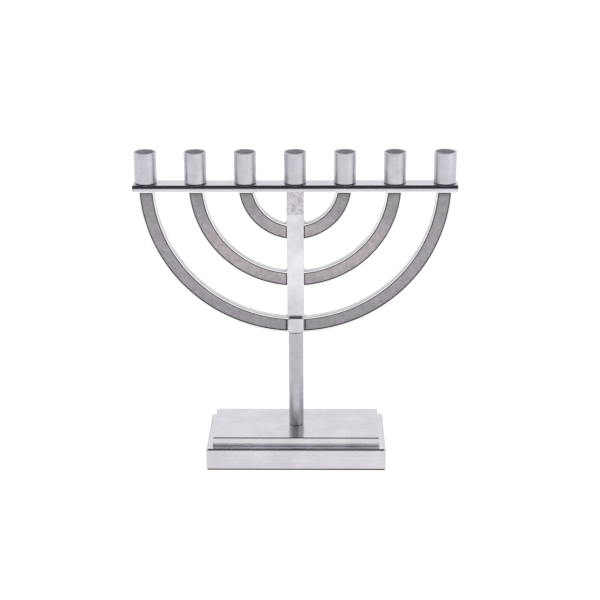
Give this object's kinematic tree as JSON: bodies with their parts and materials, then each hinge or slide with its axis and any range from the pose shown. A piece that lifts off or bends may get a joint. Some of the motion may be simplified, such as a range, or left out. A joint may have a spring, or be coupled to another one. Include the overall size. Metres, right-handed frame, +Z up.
{
  "type": "menorah",
  "caption": "Flat arched table menorah in aluminium: turned candle cups on a bar, panelled half-round branches, round rod and a two-tier rectangular base.",
  "frame": {"origin": "middle of the base's underside, on the table", "axes": "+X along the bar to the right, +Y to the back, +Z up; the panelled face looks towards -Y"},
  "size_m": [0.204, 0.057, 0.2065],
  "materials": {
    "polished_aluminium": "hand polished, fine lengthwise polishing lines",
    "satin_aluminium": "turned and satin anodised, clear",
    "cast_aluminium": "polished face and rims, sunk panels left as cast and darkened",
    "zinc_steel": "zinc plated",
    "black_felt": "felt"
  },
  "bodies": {
    "root": {"base_felt": "black_felt", "base_lower_block": "polished_aluminium", "base_upper_block": "polished_aluminium", "block_screws": "zinc_steel", "base_bolt": "zinc_steel", "base_washer": "zinc_steel", "stem_rod": "satin_aluminium", "rod_stud": "zinc_steel", "branch_casting": "cast_aluminium", "top_bar": "polished_aluminium", "cup_screws": "zinc_steel", "candle_cup_left_outer": "satin_aluminium", "candle_cup_left_middle": "satin_aluminium", "candle_cup_left_inner": "satin_aluminium", "candle_cup_centre": "satin_aluminium", "candle_cup_right_inner": "satin_aluminium", "candle_cup_right_middle": "satin_aluminium", "candle_cup_right_outer": "satin_aluminium"}
  },
  "joints": []
}
